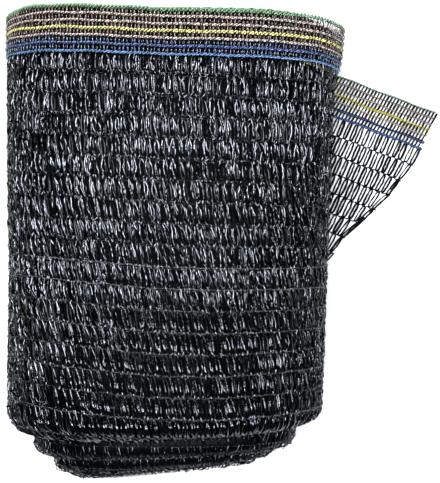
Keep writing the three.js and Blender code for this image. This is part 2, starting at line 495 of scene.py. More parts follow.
# The coloured chains, from the edge inwards.
EDGE_CHAINS = (
    EdgeChain("edge_green", 0.0, Slot.GREEN, GREEN_YARN, 1.5, 0.75, 1.2),
    EdgeChain("edge_brown_outer", 4.3, Slot.BROWN, BROWN_YARN, 0.95, 0.75, 1.5),
    EdgeChain("edge_brown_middle", 8.8, Slot.BROWN, BROWN_YARN, 0.95, 0.75, 1.5),
    EdgeChain("edge_yellow", 13.2, Slot.YELLOW, YELLOW_YARN, 1.25, 1.3, 1.8),
    EdgeChain("edge_brown_inner", 17.6, Slot.BROWN, BROWN_YARN, 0.95, 0.75, 1.5),
    EdgeChain("edge_blue_dark", 22.5, Slot.BLUE, NAVY_YARN, 1.0, 1.2, 1.6),
    EdgeChain("edge_blue_light", 27.4, Slot.BLUE, BLUE_YARN, 1.0, 1.2, 1.9),
)


@dataclass(frozen=True)
class Knit:
    """The sizes of the knit."""

    row_pitch: float = 13.2
    course: float = 2.36
    loop_pitch: float = 4.72
    band: float = EDGE_CHAINS[-1].across


@dataclass(frozen=True)
class Swell:
    """A soft swell of the wrapped cloth: where round the oval, where along it, how wide and how high."""

    turn: float
    along: float
    wide_turn: float
    wide_along: float
    rise: float


@dataclass(frozen=True)
class Tier:
    """A group of turns: how far in it starts, how high it stands and where its folded edge lies."""

    inset: float
    top: float
    fold_left: float
    fold_right: float
    roundness: float


# The groups of turns, from the outside in.
TIERS = (
    Tier(0.0, 138.0, -118.0, -111.5, 11.0),
    Tier(17.0, 126.0, -133.0, -126.0, 8.0),
    Tier(30.0, 116.0, -146.5, -132.0, 7.0),
    Tier(40.0, 110.0, -152.0, -135.0, 5.0),
)

# The swells that show on the upper face.
SWELLS = (
    Swell(128.0, 62.0, 26.0, 55.0, 1.6),
    Swell(84.0, 10.0, 20.0, 70.0, -1.8),
    Swell(52.0, -48.0, 22.0, 45.0, 1.5),
    Swell(118.0, -78.0, 24.0, 36.0, 1.4),
    Swell(160.0, -20.0, 22.0, 40.0, -1.3),
    Swell(22.0, 70.0, 20.0, 45.0, 1.2),
)


@dataclass(frozen=True)
class Oval:
    """The oval that the turns make, seen along the roll."""

    edge_line: float = 151.0
    left_reach: float = 103.3
    right_reach: float = 107.3
    right_taper: float = 0.035
    right_flare: float = 5.0
    flare_start: float = 95.0
    half_depth: float = 48.5
    axis_height: float = 46.5
    power: float = 2.4
    close_start: float = 17.0
    close_share: float = 0.72
    row_slope: float = 0.018
    floor: float = 0.1

    def reach_right(self, along: Array) -> Array:
        """Returns the reach to the right, which tapers to the folds and flares at the coloured edge."""
        flare = self.right_flare * smooth_rise(along, self.flare_start, self.edge_line)
        return self.right_reach + self.right_taper * along + flare

    def swell(self, turn: Array, along: Array) -> Array:
        """Adds up the swells at a place.

        Args:
            turn: Angle round the oval.
            along: Place along the roll.

        Returns:
            The height of all swells there.
        """
        rise = np.zeros(np.broadcast(turn, along).shape)
        for swell in SWELLS:
            away = np.abs(turn - swell.turn)
            away = np.minimum(away, 360.0 - away)
            length = (along - swell.along) / swell.wide_along
            rise += swell.rise * np.exp(-((away / swell.wide_turn) ** 2) - length**2)
        return rise

    def point(self, turn: Array, along: Array, inset: Array) -> tuple[Array, Array]:
        """Finds a point of the oval.

        Args:
            turn: Angle round the oval in degrees: 0 is the right, 90 the upper face.
            along: Place along the roll.
            inset: How far in from the outer turn.

        Returns:
            The point's x and z.
        """
        cos = np.cos(np.radians(turn))
        sin = np.sin(np.radians(turn))
        drawn = inset - self.swell(turn, along)
        width = np.where(cos > 0, self.reach_right(along), self.left_reach) - drawn
        past = np.maximum(drawn - self.close_start, 0.0)
        depth = self.half_depth - np.minimum(drawn, self.close_start) - self.close_share * past
        x = np.sign(cos) * width * np.abs(cos) ** (2.0 / self.power)
        z = self.axis_height + np.sign(sin) * depth * np.abs(sin) ** (2.0 / self.power)
        return x, np.maximum(z, self.floor)

    def share_across(self, x: Array) -> Array:
        """Returns where a place across the roll lies between its left and right reach, from 0 to 1."""
        return (x + self.left_reach) / (self.left_reach + self.right_reach)


class Ply:
    """One layer of cloth. It says where a place on the cloth lies in the part's frame."""

    STEP = 0.4

    def place(self, around: Array, down: Array) -> Array:
        """Returns the point at a distance around the roll and a distance down from the coloured edge."""
        raise NotImplementedError

    def frames(self, around: Array, down: Array) -> tuple[Array, Array, Array, Array]:
        """Finds points on the cloth with the directions there.

        Args:
            around: Distances around the roll.
            down: Distances down from the coloured edge, in the same shape.

        Returns:
            The points, and the directions around, down and out of the cloth.
        """
        points = self.place(around, down)
        along = unit(self.place(around + self.STEP, down) - self.place(around - self.STEP, down))
        fall = self.place(around, down + self.STEP) - self.place(around, down - self.STEP)
        out = unit(np.cross(along, fall))
        return points, along, np.cross(out, along), out


@dataclass
class RollPly(Ply):
    """A layer wound on the roll, down its wall and round the folded edge of its group of turns."""

    oval: Oval
    tier: Tier
    start: float
    depth: float = 0.0
    wave: Table = LEVEL
    wave_fade: float = 90.0
    pinch: Table = LEVEL
    pinch_fade: float = 15.0
    slope_fade: float = 60.0
    rise: Grid = ((0.0, LEVEL),)
    samples: int = 7200
    turns: Array = field(init=False)
    lengths: Array = field(init=False)

    def __post_init__(self) -> None:
        """Measures the girth of the layer."""
        self.turns = np.linspace(0.0, 360.0, self.samples + 1)
        x, z = self.oval.point(self.turns, np.zeros(1), self.tier.inset + self.depth)
        steps = np.hypot(np.diff(x), np.diff(z))
        self.lengths = np.concatenate([[0.0], np.cumsum(steps)])

    @property
    def girth(self) -> float:
        """The distance once around the roll."""
        return float(self.lengths[-1])

    def turn_at(self, around: Array) -> Array:
        """Returns the angle round the oval at a distance around the roll."""
        return np.interp(np.mod(around, self.girth), self.lengths, self.turns)

    def around_at(self, turn: float) -> float:
        """Returns the distance around the roll at an angle round the oval."""
        return float(np.interp(turn, self.turns, self.lengths))

    def place(self, around: Array, down: Array) -> Array:
        """Finds points of the layer.

        Args:
            around: Distances around the roll.
            down: Distances down from the coloured edge.

        Returns:
            The points, in the part's frame.
        """
        oval = self.oval
        turn = self.turn_at(around)
        inset = self.tier.inset + self.depth
        bend = self.tier.roundness - self.depth
        level, _ = oval.point(turn, np.zeros(1), self.tier.inset)
        share = oval.share_across(level)
        fold = self.tier.fold_left + (self.tier.fold_right - self.tier.fold_left) * share + self.depth
        wall = self.start - fold - bend
        # Past its straight wall the cloth bends in round the folded edge.
        past = np.maximum(down - wall, 0.0)
        angle = np.minimum(past / bend, math.pi / 2.0)
        beyond = np.maximum(past - bend * math.pi / 2.0, 0.0)
        along = self.start - np.minimum(down, wall)
        x, z = oval.point(turn, along, inset + bend * (1.0 - np.cos(angle)) + beyond)
        y = along - bend * np.sin(angle)
        # The rows slope across the upper face, and wave, draw in and rise by their tables.
        slope = oval.row_slope * x * z / (2.0 * oval.half_depth)
        y = y - slope * (1.0 - smooth_rise(down, wall - self.slope_fade, wall))
        y = y + read_table(self.wave, turn) * (1.0 - smooth_rise(down, 0.0, self.wave_fade))
        y = y + read_table(self.pinch, turn) * (1.0 - smooth_rise(down, 0.0, self.pinch_fade))
        y = y + read_grid(self.rise, down, turn)
        return np.stack([x, y, z], axis=-1)


@dataclass
class FlatPly(Ply):
    """A single layer on the ground, where around is the distance from its cut corner towards the roll."""

    corner: tuple[float, float]
    slant: float
    height: float
    ripple: float
    ripple_around: float = 9.0
    ripple_down: float = 21.0

    def place(self, around: Array, down: Array) -> Array:
        """Finds points of the layer.

        Args:
            around: Distances from the cut corner.
            down: Distances down from the coloured edge.

        Returns:
            The points, in the part's frame.
        """
        cos = math.cos(math.radians(self.slant))
        sin = math.sin(math.radians(self.slant))
        x = self.corner[0] - around * cos + down * sin
        y = self.corner[1] - around * sin - down * cos
        phase = around / self.ripple_around + down / self.ripple_down
        z = self.height + self.ripple * (1.0 + np.sin(phase)) * 0.5
        return np.stack([x, y, z], axis=-1)


def finish_piece(piece: bpy.types.Object, slot: Slot, *nodes: str) -> bpy.types.Object:
    """Fixes a piece to the part's body.

    Args:
        piece: The new piece.
        slot: The record's slot that its finish comes from; not used.
        *nodes: The solids that it stands for.

    Returns:
        The same piece.
    """
    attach(piece, ROOT)
    if nodes:
        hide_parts(*nodes)
    triangles = sum(len(face.vertices) - 2 for face in piece.data.polygons)
    LOG.info("%s: %d triangles, stands for %s", piece.name, triangles, ", ".join(nodes) or "no solid")
    return piece


class StrandMesh:
    """The strands of one piece, gathered as arrays and joined into a single mesh."""

    TONE_WIDTH = 0.012
    LOWEST = 0.05

    def __init__(self) -> None:
        """Starts with no strands."""
        self.points: list[Array] = []
        self.maps: list[Array] = []
        self.faces: list[list[int]] = []
        self.count = 0

    def add(
        self, points: Array, tones: Array, looped: bool = False, tube: bool = False, part: Span = (0.0, 1.0)
    ) -> None:
        """Adds strands of equal count.

        Args:
            points: Places by strand, station, corner and coordinate.
            tones: A tone from 0 to 1 for each strand.
            looped: Whether each strand's last station meets its first.
            tube: Whether the corners close into a tube, capped where it isn't looped.
            part: The part of the map's length that the strands take.
        """
        strands, stations, corners, _ = points.shape
        index = self.count + np.arange(strands * stations * corners).reshape(strands, stations, corners)
        ends = index
        if looped:
            index = np.concatenate([index, index[:, :1]], axis=1)
        if tube:
            index = np.concatenate([index, index[:, :, :1]], axis=2)
        near = index[:, :-1]
        far = index[:, 1:]
        quads = np.stack([near[:, :, :-1], near[:, :, 1:], far[:, :, 1:], far[:, :, :-1]], axis=-1)
        self.faces.extend(quads.reshape(-1, 4).tolist())
        if tube and not looped:
            self.faces.extend(ends[:, 0, ::-1].tolist())
            self.faces.extend(ends[:, -1].tolist())
        # Each strand's map runs along its length, in a thin strip at its own tone.
        across = self.TONE_WIDTH * np.linspace(-0.5, 0.5, corners)
        tone = tones[:, None, None] * (1.0 - 2.0 * self.TONE_WIDTH) + self.TONE_WIDTH + across
        reach = self.TONE_WIDTH + (1.0 - 2.0 * self.TONE_WIDTH) * np.linspace(*part, stations)
        along = np.broadcast_to(reach[None, :, None], (strands, stations, corners))
        tone = np.broadcast_to(tone, along.shape)
        self.maps.append(np.stack([tone, along], axis=-1).reshape(-1, 2))
        flat = points.reshape(-1, 3).copy()
        flat[:, 2] = np.maximum(flat[:, 2], self.LOWEST)
        self.points.append(flat)
        self.count += len(flat)

    def build(self, name: str, finish: YarnFinish, slot: Slot = Slot.BLACK, *nodes: str) -> bpy.types.Object:
        """Makes the piece and dresses it.

        Args:
            name: The piece's name.
            finish: Its finish.
            slot: The record's slot that the finish comes from.
            *nodes: The solids that it stands for.

        Returns:
            The new object, at the origin.
        """
        mesh = bpy.data.meshes.new(name)
        mesh.from_pydata((np.concatenate(self.points) * MM).tolist(), [], self.faces, shade_flat=False)
        layer = mesh.uv_layers.new(name=YARN_MAP)
        corners = np.empty(len(mesh.loops), dtype=np.int32)
        mesh.loops.foreach_get("vertex_index", corners)
        layer.data.foreach_set("uv", np.concatenate(self.maps)[corners].ravel())
        mesh.materials.append(finish.material())
        piece = bpy.data.objects.new(name, mesh)
        bpy.context.scene.collection.objects.link(piece)
        return finish_piece(piece, slot, *nodes)


@dataclass(frozen=True)
class TapeStyle:
    """How one kind of tape lies between two rows, and how uneven it is.

    Attributes:
        arch: How far it rises from its ends to its highest point.
        slump: The share of the rise that hangs from the tape's start, in place of an arch.
        tip: How evenly a slumped tape falls.
        base: How far its ends stand off the cloth.
        foot: How far its ends lie to its side.
        bow: How much further its middle lies to its side.
        fullness: The power of the bow's curve: the smaller, the fuller.
        lean: How much its lean around the roll varies.
        cant: The angle by which its middle turns to its side.
        twist: How much its turn about its own length varies.
        flutter: How much that turn varies from station to station.
        roughness: How much its line varies from station to station.
        uneven: How much its arch and bow vary, as a share.
        skew: How much the place of its highest point varies.
    """

    section: Section = Section.TAPE
    stations: int = 7
    width: float = 1.4
    end_width: float = 0.7
    thickness: float = 0.75
    arch: float = 0.85
    hump_power: float = 0.8
    slump: float = 0.0
    tip: float = 0.0
    fall_power: float = 8.0
    base: float = -0.1
    foot: float = 0.3
    bow: float = 0.85
    fullness: float = 1.0
    lean: float = 0.55
    cant: float = 0.25
    twist: float = 0.22
    flutter: float = 0.22
    roughness: float = 0.14
    uneven: float = 0.4
    skew: float = 0.0
    width_power: float = 0.6
    width_spread: Span = (0.8, 1.2)
    tone: Span = (0.0, 1.0)


@dataclass(frozen=True)
class ChainStyle:
    """How a chain of stitches lies: strands that wind round each other, on a line that may be scalloped."""

    strands: int = 1
    sides: int = 3
    steps: int = 4
    radius: float = 0.3
    swing: float = 0.34
    lift: float = 0.0
    uneven: float = 0.3
    jitter: float = 0.25
    winds_to_wander: float = 7.0
    scallop: float = 0.0
    scallop_pitch: float = 4.72
    tone: Span = (0.0, 1.0)

    def scaled(self, bulk: float) -> "ChainStyle":
        """Returns the same chain, thicker or thinner."""
        return replace(self, radius=self.radius * bulk, swing=self.swing * bulk)


@dataclass
class Loom:
    """Lays the strands of one piece on one layer of cloth, with its own source of an uneven lie."""

    strands: StrandMesh
    ply: Ply
    rng: np.random.Generator

    def lay_tapes(
        self,
        style: TapeStyle,
        around: Array,
        side: Array | float,
        down: tuple[Array | float, Array | float],
        lean: Array | float,
        part: Span = (0.0, 1.0),
        unrest: Array | float = 1.0,
    ) -> None:
        """Lays tapes from one row of the knit to the next.

        Args:
            style: Their sizes and how uneven they are.
            around: Each tape's middle, as a distance around the roll.
            side: -1 or 1, the side that each tape bows to, or 0.
            down: Where the tapes start and end, as distances from the coloured edge.
            lean: How far each tape's end lies from its start, around the roll.
            part: The part of the map's length that they take.
            unrest: How many times as uneven as their style each tape is.
        """
        rng = self.rng
        count = len(around)
        every = (count, style.stations)
        # Values for all tapes become a column, with a row for each tape.
        columns = [np.broadcast_to(value, count)[:, None] for value in (side, *down, unrest)]
        side, start, end, unrest = columns
        share = np.linspace(0.0, 1.0, style.stations)[None, :]
        swing = np.sin(math.pi * share)
        # The line that each tape follows on the cloth.
        drift = rng.normal(0.0, style.lean, count) + lean
        bow = style.bow * rng.uniform(1.0 - style.uneven, 1.0 + style.uneven, count)
        bulge = bow[:, None] * swing**style.fullness
        offset = side * (style.foot + bulge) + drift[:, None] * (share - 0.5)
        offset = offset + rng.normal(0.0, style.roughness, every) * unrest * swing
        fall = start + (end - start) * share
        points, along, _, out = self.ply.frames(around[:, None] + offset, fall)
        # How far it stands off the cloth: as an arch, or highest at its start where it has slumped.
        arch = style.arch * rng.uniform(1.0 - style.uneven, 1.0 + style.uneven, count)
        fallen = 1.0 - style.tip * share - (1.0 - style.tip) * share**style.fall_power
        skewed = share ** np.exp(rng.normal(0.0, style.skew, count))[:, None]
        hump = (1.0 - style.slump) * np.sin(math.pi * skewed) ** style.hump_power + style.slump * fallen
        lift = style.base + arch[:, None] * hump
        lift = lift + rng.normal(0.0, style.roughness, every) * unrest * swing
        # How it is turned about its own length.
        first_twist = rng.normal(0.0, style.twist, count)[:, None]
        more_twist = rng.normal(0.0, style.twist, count)[:, None]
        roll = first_twist + more_twist * (share - 0.5)
        roll = roll + side * style.cant * swing
        roll = roll + rng.normal(0.0, style.flutter, every) * unrest
        cos = np.cos(roll)[..., None]
        sin = np.sin(roll)[..., None]
        middle = points + out * lift[..., None]
        across = along * cos + out * sin
        face = out * cos - along * sin
        # Its section, widest in the middle.
        half = 0.5 * (style.end_width + (style.width - style.end_width) * swing**style.width_power)
        half = (half * rng.uniform(*style.width_spread, count)[:, None])[..., None]
        edge = across * half
        rise = face * (0.5 * style.thickness)
        tube = style.section is Section.FLAT_TUBE
        if tube:
            corners = [middle + rise, middle + edge, middle - rise, middle - edge]
        else:
            corners = [middle - edge, middle + rise, middle + edge]
        tones = rng.uniform(*style.tone, count)
        self.strands.add(np.stack(corners, axis=2), tones, tube=tube, part=part)

    def lay_chain(self, style: ChainStyle, around: Span, down: float, period: float, looped: bool) -> None:
        """Lays one chain of stitches around the roll or along the loose end.

        Args:
            style: Its sizes.
            around: Where it starts and ends, as distances around the roll.
            down: Its distance from the coloured edge.
            period: The length in which its strands wind once.
            looped: Whether its end meets its start.
        """
        length = around[1] - around[0]
        winds = max(2, round(length / period))
        stations = winds * style.steps
        share = np.arange(stations) / stations if looped else np.linspace(0.0, 1.0, stations)
        reach = around[0] + length * share
        phase = share * winds / style.winds_to_wander + self.rng.random()
        wander = style.uneven * np.sin(2.0 * math.pi * phase)
        if looped:
            wander = wander * np.sin(math.pi * share)
        wander = wander + style.scallop * np.sin(2.0 * math.pi * reach / style.scallop_pitch)
        points, _, fall, out = self.ply.frames(reach, down + wander)
        for strand in range(style.strands):
            phase = 2.0 * math.pi * (share * winds + strand / style.strands)
            jitter = self.rng.normal(0.0, style.uneven * style.jitter, stations)
            middle = points + out * (style.lift + style.swing * np.cos(phase) + jitter)[:, None]
            middle = middle + fall * (style.swing * np.sin(phase))[:, None]
            corners = tube_corners(middle, style.radius, style.sides, fall, out)
            self.strands.add(corners, self.rng.uniform(*style.tone, 1), looped=looped, tube=True)

    def lay_thread(self, around: Array, down: Array, width: float, lift: float) -> None:
        """Lays one flat thread along a path on the cloth.

        Args:
            around: The path's distances around the roll.
            down: The path's distances from the coloured edge.
            width: The thread's width, which is twice its thickness.
            lift: How far it lies off the cloth.
        """
        points, _, _, out = self.ply.frames(around, down)
        middle = points + out * lift
        side = unit(np.cross(out, np.gradient(middle, axis=0))) * (0.5 * width)
        rise = out * (0.25 * width)
        grid = np.stack([middle + rise, middle + side, middle - rise, middle - side], axis=1)
        self.strands.add(grid[None], np.array([THREAD_TONE]), tube=True)


@dataclass
class RollYarn:
    """The yarn of one wound layer: filler legs and chains of stitches, which change towards the folds."""

    knit: Knit
    ply: RollPly
    seed: int
    row_places: Array
    legs: TapeStyle
    chain: ChainStyle
    low_legs: TapeStyle
    low_chain: ChainStyle
    low_row: int = 0
    highlit_chain_row: int = 0
    side_unrest: float = 0.8
    side_power: int = 8
    side_span: Span = (0.6, 0.85)
    tapes: int = 1
    tape_stray: float = 0.4
    stray: float = 0.25
    knot_stray: float = 0.4
    # How evenly the slumped legs fall, and how far all legs lean, by the row.
    tips: Table = ((12.0, 0.4), (15.0, 0.0), (17.0, -0.5))
    leans: Table = ((0.0, -0.6), (4.0, -1.0), (7.0, -2.6), (12.0, -2.6), (18.0, -2.0))
    rng: np.random.Generator = field(init=False)

    def __post_init__(self) -> None:
        """Starts the source of the uneven lie."""
        self.rng = np.random.default_rng(self.seed)

    def lay_legs(self, strands: StrandMesh, low_strands: StrandMesh) -> None:
        """Lays the filler legs of every row, in pairs that bow apart.

        Args:
            strands: The piece that they join.
            low_strands: The piece that they join in the low rows.
        """
        loops = round(self.ply.girth / self.knit.loop_pitch)
        pitch = self.ply.girth / loops
        count = 2 * loops * self.tapes
        side = np.tile([-1.0, 1.0], count // 2)
        for row, down in enumerate(zip(self.row_places, self.row_places[1:])):
            low = row >= self.low_row
            loom = Loom(low_strands if low else strands, self.ply, self.rng)
            low_style = replace(self.low_legs, tip=read_table(self.tips, row))
            lean = read_table(self.leans, row)
            around = (np.arange(loops) + self.rng.random()) * pitch + self.rng.normal(0.0, self.stray, loops)
            around = np.repeat(around, count // loops)
            if self.tapes > 1:
                around = around + self.rng.normal(0.0, self.tape_stray, count)
            sideways = np.abs(np.cos(np.radians(self.ply.turn_at(around))))
            unrest = 1.0 + self.side_unrest * sideways**self.side_power
            fallen = low & (self.rng.random(count) > smooth_rise(sideways, *self.side_span))
            for style, chosen in ((self.legs, ~fallen), (low_style, fallen)):
                if chosen.any():
                    loom.lay_tapes(style, around[chosen], side[chosen], down, lean, unrest=unrest[chosen])

    def lay_chains(self, strands: StrandMesh) -> None:
        """Lays the chain of stitches of every row but the first, which is a coloured one.

        Args:
            strands: The piece that they join.
        """
        loom = Loom(strands, self.ply, self.rng)
        for row, place in enumerate(self.row_places[1:], start=1):
            # From this row down the chains take the pale grey tones of the painted highlight.
            style = self.chain if row < self.highlit_chain_row else self.low_chain
            loom.lay_chain(style, (0.0, self.ply.girth), place, self.knit.course, looped=True)

    def lay_knots(self, strands: StrandMesh, style: TapeStyle, reach: float) -> None:
        """Lays the short ends of loops that cross each chain.

        Args:
            strands: The piece that they join.
            style: Their sizes.
            reach: How far they reach to each side of the chain.
        """
        loom = Loom(strands, self.ply, self.rng)
        count = round(self.ply.girth / self.knit.course)
        for place in self.row_places[1:]:
            around = (np.arange(count) + self.rng.normal(0.0, self.stray, count)) * self.ply.girth / count
            middle = place + self.rng.normal(0.0, self.knot_stray, count)
            down = (middle - reach, middle + reach)
            loom.lay_tapes(style, around, 0.0, down, 0.0)


@dataclass
class ColouredEdge:
    """The coloured edge of a layer: seven chains and the bars that cross them."""

    knit: Knit
    ply: Ply
    span: Span
    looped: bool
    seed: int
    lift: float = 0.0
    loose: bool = False
    bar_pitch: float = 2.36
    stray: float = 0.4
    wraps: TapeStyle = TapeStyle(
        section=Section.FLAT_TUBE, stations=5, width=0.55, end_width=0.45, thickness=0.3, arch=-1.6,
        base=2.25, foot=0.0, bow=0.0, lean=0.0, twist=0.4, flutter=0.2, roughness=0.1,
    )
    dashes: TapeStyle = TapeStyle(
        section=Section.FLAT_TUBE, stations=5, width=1.1, end_width=0.8, thickness=0.5, arch=0.7,
        base=0.5, foot=0.0, bow=0.0, lean=0.0, twist=0.25, flutter=0.1, roughness=0.05, tone=(0.1, 1.0),
    )
    chain: ChainStyle = ChainStyle(strands=2, sides=4, steps=6, radius=0.42, swing=0.6, tone=(0.45, 0.75))

    def lay_bars(self, strands: StrandMesh, style: TapeStyle, lean: float, phase: float) -> None:
        """Lays the bars, one to a course, in short lengths from each chain to the next.

        Args:
            strands: The piece that they join.
            style: Their sizes.
            lean: How far each bar's end lies from its start.
            phase: The share of a course at which the first one lies.
        """
        rng = np.random.default_rng(self.seed)
        loom = Loom(strands, self.ply, rng)
        length = self.span[1] - self.span[0]
        count = round(length / self.bar_pitch)
        even = self.span[0] + (np.arange(count) + phase) * length / count
        places = [chain.across for chain in EDGE_CHAINS]
        here = even - 0.5 * lean + rng.normal(0.0, self.stray, count)
        for down in zip(places, places[1:]):
            part = (down[0] / places[-1], down[1] / places[-1])
            there = even + lean * (part[1] - 0.5) + rng.normal(0.0, self.stray, count)
            middle = (here + there) / 2.0
            loom.lay_tapes(style, middle, 0.0, down, there - here, part)
            here = there

    def build_chains(self, prefix: str) -> list[bpy.types.Object]:
        """Makes the seven chains, each in place of its solid.

        Args:
            prefix: What the solids' names start with.

        Returns:
            The seven pieces.
        """
        rng = np.random.default_rng(self.seed + 1)
        pieces = []
        for chain in EDGE_CHAINS:
            node = f"{prefix}_{chain.name}"
            loom = Loom(StrandMesh(), self.ply, rng)
            bulk = chain.loose_bulk if self.loose else chain.bulk
            style = replace(self.chain.scaled(bulk), lift=self.lift)
            loom.lay_chain(style, self.span, chain.across, self.knit.loop_pitch, self.looped)
            # On the loose end the chains take darker copies of their yarns: painted shade.
            finish = chain.finish.shaded_copy(chain.loose_shade) if self.loose else chain.finish
            pieces.append(loom.strands.build(f"{node}_yarn", finish, chain.slot, node))
        return pieces


@dataclass
class WoundCloth:
    """The folded cloth of the inner turns, wound from under the outer layers to the middle."""

    oval: Oval
    knit: Knit
    turns: float = 7.0
    first_inset: float = 3.6
    last_inset: float = 44.0
    tightness: float = 1.5
    start_turn: float = 300.0
    ply_gap: float = 2.6
    thickness: float = 1.3
    below_yarn: float = 1.4
    steps_around: int = 460
    steps_across: int = 36
    edge_drop: float = 4.0
    step_before: float = 1.5
    step_after: float = 0.5
    dullness: float = 0.3
    lines_shown: int = 5
    outer_until: float = 7.0
    inner_from: float = 15.0
    chain_steps: int = 1500
    chain_winds: float = 350.0
    chain_swing: float = 0.5
    chain_radius: float = 0.5
    chain_sides: int = 3
    chain_tones: Span = (0.3, 0.7)
    length_samples: int = 4000
    length_line: float = 0.25
    width_samples: int = 800
    width_lines: int = 25
    width_span: Span = (0.02, 0.98)
    wave: Table = LEVEL

    def dulled(self, colour: Colour) -> Colour:
        """Returns a line's colour as it is in the shade of the turns outside it."""
        return tuple(self.dullness * value for value in colour)

    def fold_at(self, inset: Array, share: Array) -> Array:
        """Finds the folded edge of a turn.

        Args:
            inset: How far in the turn lies.
            share: The share of the way across the roll.

        Returns:
            Where the edge lies along the roll.
        """
        fold = np.zeros(np.broadcast(inset, share).shape)
        for order, tier in enumerate(TIERS):
            level = tier.fold_left + (tier.fold_right - tier.fold_left) * share
            short = np.clip(tier.roundness - (inset - tier.inset), 0.0, tier.roundness)
            rounded = level + tier.roundness - np.sqrt(tier.roundness**2 - short**2)
            inside = np.ones(1)
            if order:
                inside = smooth_rise(inset, tier.inset - self.step_before, tier.inset + self.step_after)
            fold = fold + (rounded - fold) * inside
        return fold + self.below_yarn

    def top_at(self, inset: Array, turn: Array) -> Array:
        """Finds the coloured edge of a turn. The first turn's lies close to the outer layer's.

        Args:
            inset: How far in the turn lies.
            turn: Angle round the oval.

        Returns:
            Where the edge lies along the roll.
        """
        inner = np.interp(inset, [tier.inset for tier in TIERS], [tier.top for tier in TIERS])
        outer = self.oval.edge_line + read_table(self.wave, turn)
        return outer + (inner - outer) * smooth_rise(inset, self.outer_until, self.inner_from)

    def place(self, along: Array, across: Array) -> Array:
        """Winds the cloth.

        Args:
            along: Share of the cloth's length, from the outside in.
            across: Share of its width, from one coloured edge round the fold to the other.

        Returns:
            The wound points.
        """
        turn = np.mod(self.start_turn - 360.0 * self.turns * along, 360.0)
        inset = self.first_inset + (self.last_inset - self.first_inset) * along**self.tightness
        level, _ = self.oval.point(turn, np.zeros(1), inset)
        fold = self.fold_at(inset, self.oval.share_across(level))
        top = self.top_at(inset, turn)
        # Down the outer wall, round the fold and back up the inner wall.
        bend = self.ply_gap / 2.0
        wall = top - fold - bend
        arc = math.pi * bend
        down = across * (2.0 * wall + arc)
        angle = np.clip((down - wall) / bend, 0.0, math.pi)
        back = np.maximum(down - wall - arc, 0.0)
        y = top - np.minimum(down, wall) - bend * np.sin(angle)
        y = y + back * (1.0 - self.edge_drop / wall)
        inner = inset + bend * (1.0 - np.cos(angle))
        x, z = self.oval.point(turn, top - np.minimum(down, wall), inner)
        return np.stack([x, y, z], axis=-1)

    def flat_size(self) -> tuple[float, float]:
        """Measures the cloth as it was before it was folded and wound.

        Returns:
            Its width and its length.
        """
        along = np.linspace(0.0, 1.0, self.length_samples)
        length = path_length(self.place(along, np.full(self.length_samples, self.length_line)))
        across = np.linspace(0.0, 1.0, self.width_samples)
        widths = []
        for share in np.linspace(*self.width_span, self.width_lines):
            widths.append(path_length(self.place(np.full(self.width_samples, share), across)))
        return sum(widths) / len(widths), length

    def build(self) -> bpy.types.Object:
        """Lays the cloth out flat, winds it and gives it its thickness.

        Returns:
            The new piece.
        """
        width, length = self.flat_size()
        bpy.ops.object.select_all(action="DESELECT")
        bpy.ops.mesh.primitive_grid_add(
            x_subdivisions=self.steps_around, y_subdivisions=self.steps_across, size=1.0
        )
        piece = bpy.context.active_object
        piece.name = "roll_cloth"
        piece.data.name = "roll_cloth"
        flat = np.empty(len(piece.data.vertices) * 3)
        piece.data.vertices.foreach_get("co", flat)
        flat = flat.reshape(-1, 3) + 0.5
        wound = self.place(flat[:, 0], flat[:, 1]) * MM
        piece.data.vertices.foreach_set("co", wound.ravel())
        piece.data.uv_layers[0].name = YARN_MAP
        solid = piece.modifiers.new("thickness", "SOLIDIFY")
        solid.thickness = self.thickness * MM
        solid.offset = 0.0
        bpy.ops.object.modifier_apply(modifier=solid.name)
        bpy.ops.object.shade_smooth()
        # The lines take the yarns' dark colours, darkened further as painted shade.
        lines = [(chain.across, self.dulled(chain.finish.dark)) for chain in EDGE_CHAINS[:self.lines_shown]]
        finish = ClothFinish(
            "inner_knit", length, width, self.knit.row_pitch, self.knit.loop_pitch, tuple(lines)
        )
        piece.data.materials.append(finish.material())
        return finish_piece(piece, Slot.BLACK, "roll")

    def build_inner_edge(self) -> bpy.types.Object:
        """Makes the green chain along the coloured edge of the inner turns.

        Returns:
            The new piece.
        """
        strands = StrandMesh()
        along = np.linspace(0.0, 1.0, self.chain_steps)
        points = self.place(along, np.zeros(self.chain_steps))
        tangent = unit(np.gradient(points, axis=0))
        fall = np.broadcast_to(np.array([0.0, -1.0, 0.0]), tangent.shape)
        out = unit(np.cross(tangent, fall))
        for strand, tone in enumerate(self.chain_tones):
            phase = along * (2.0 * self.chain_winds) * math.pi + strand * math.pi
            middle = points + out * (self.chain_swing * np.cos(phase))[:, None]
            middle = middle + fall * (self.chain_swing * np.sin(phase))[:, None]
            corners = tube_corners(middle, self.chain_radius, self.chain_sides, fall, out)
            strands.add(corners, np.array([tone]), tube=True)
        return strands.build("roll_inner_edge", GREEN_YARN, Slot.GREEN)


# How far the coloured edge stands up or hangs back, by the angle round the oval, for the layers inwards.
OUTER_WAVE = (
    (0.0, -5.5), (18.0, -4.0), (35.0, -1.5), (60.0, -1.0), (90.0, -1.4), (105.0, 0.0), (124.0, 1.5),
    (162.0, 2.3), (200.0, 2.0), (270.0, 0.0), (330.0, -4.0), (360.0, -5.5),
)
UNDER_WAVE = (
    (0.0, -10.5), (18.0, -8.5), (32.0, -6.0), (46.0, -1.8), (60.0, -1.2), (90.0, -1.6), (105.0, -0.2),
    (124.0, 1.3), (162.0, 2.3), (200.0, 2.0), (270.0, -3.0), (330.0, -9.0), (360.0, -10.5),
)
CLOTH_WAVE = (
    (0.0, -9.5), (18.0, -8.0), (32.0, -5.8), (46.0, -1.0), (60.0, 0.2), (90.0, 0.0), (105.0, 1.2),
    (124.0, 2.4), (162.0, 2.6), (200.0, 2.0), (270.0, -3.0), (330.0, -9.0), (360.0, -9.5),
)
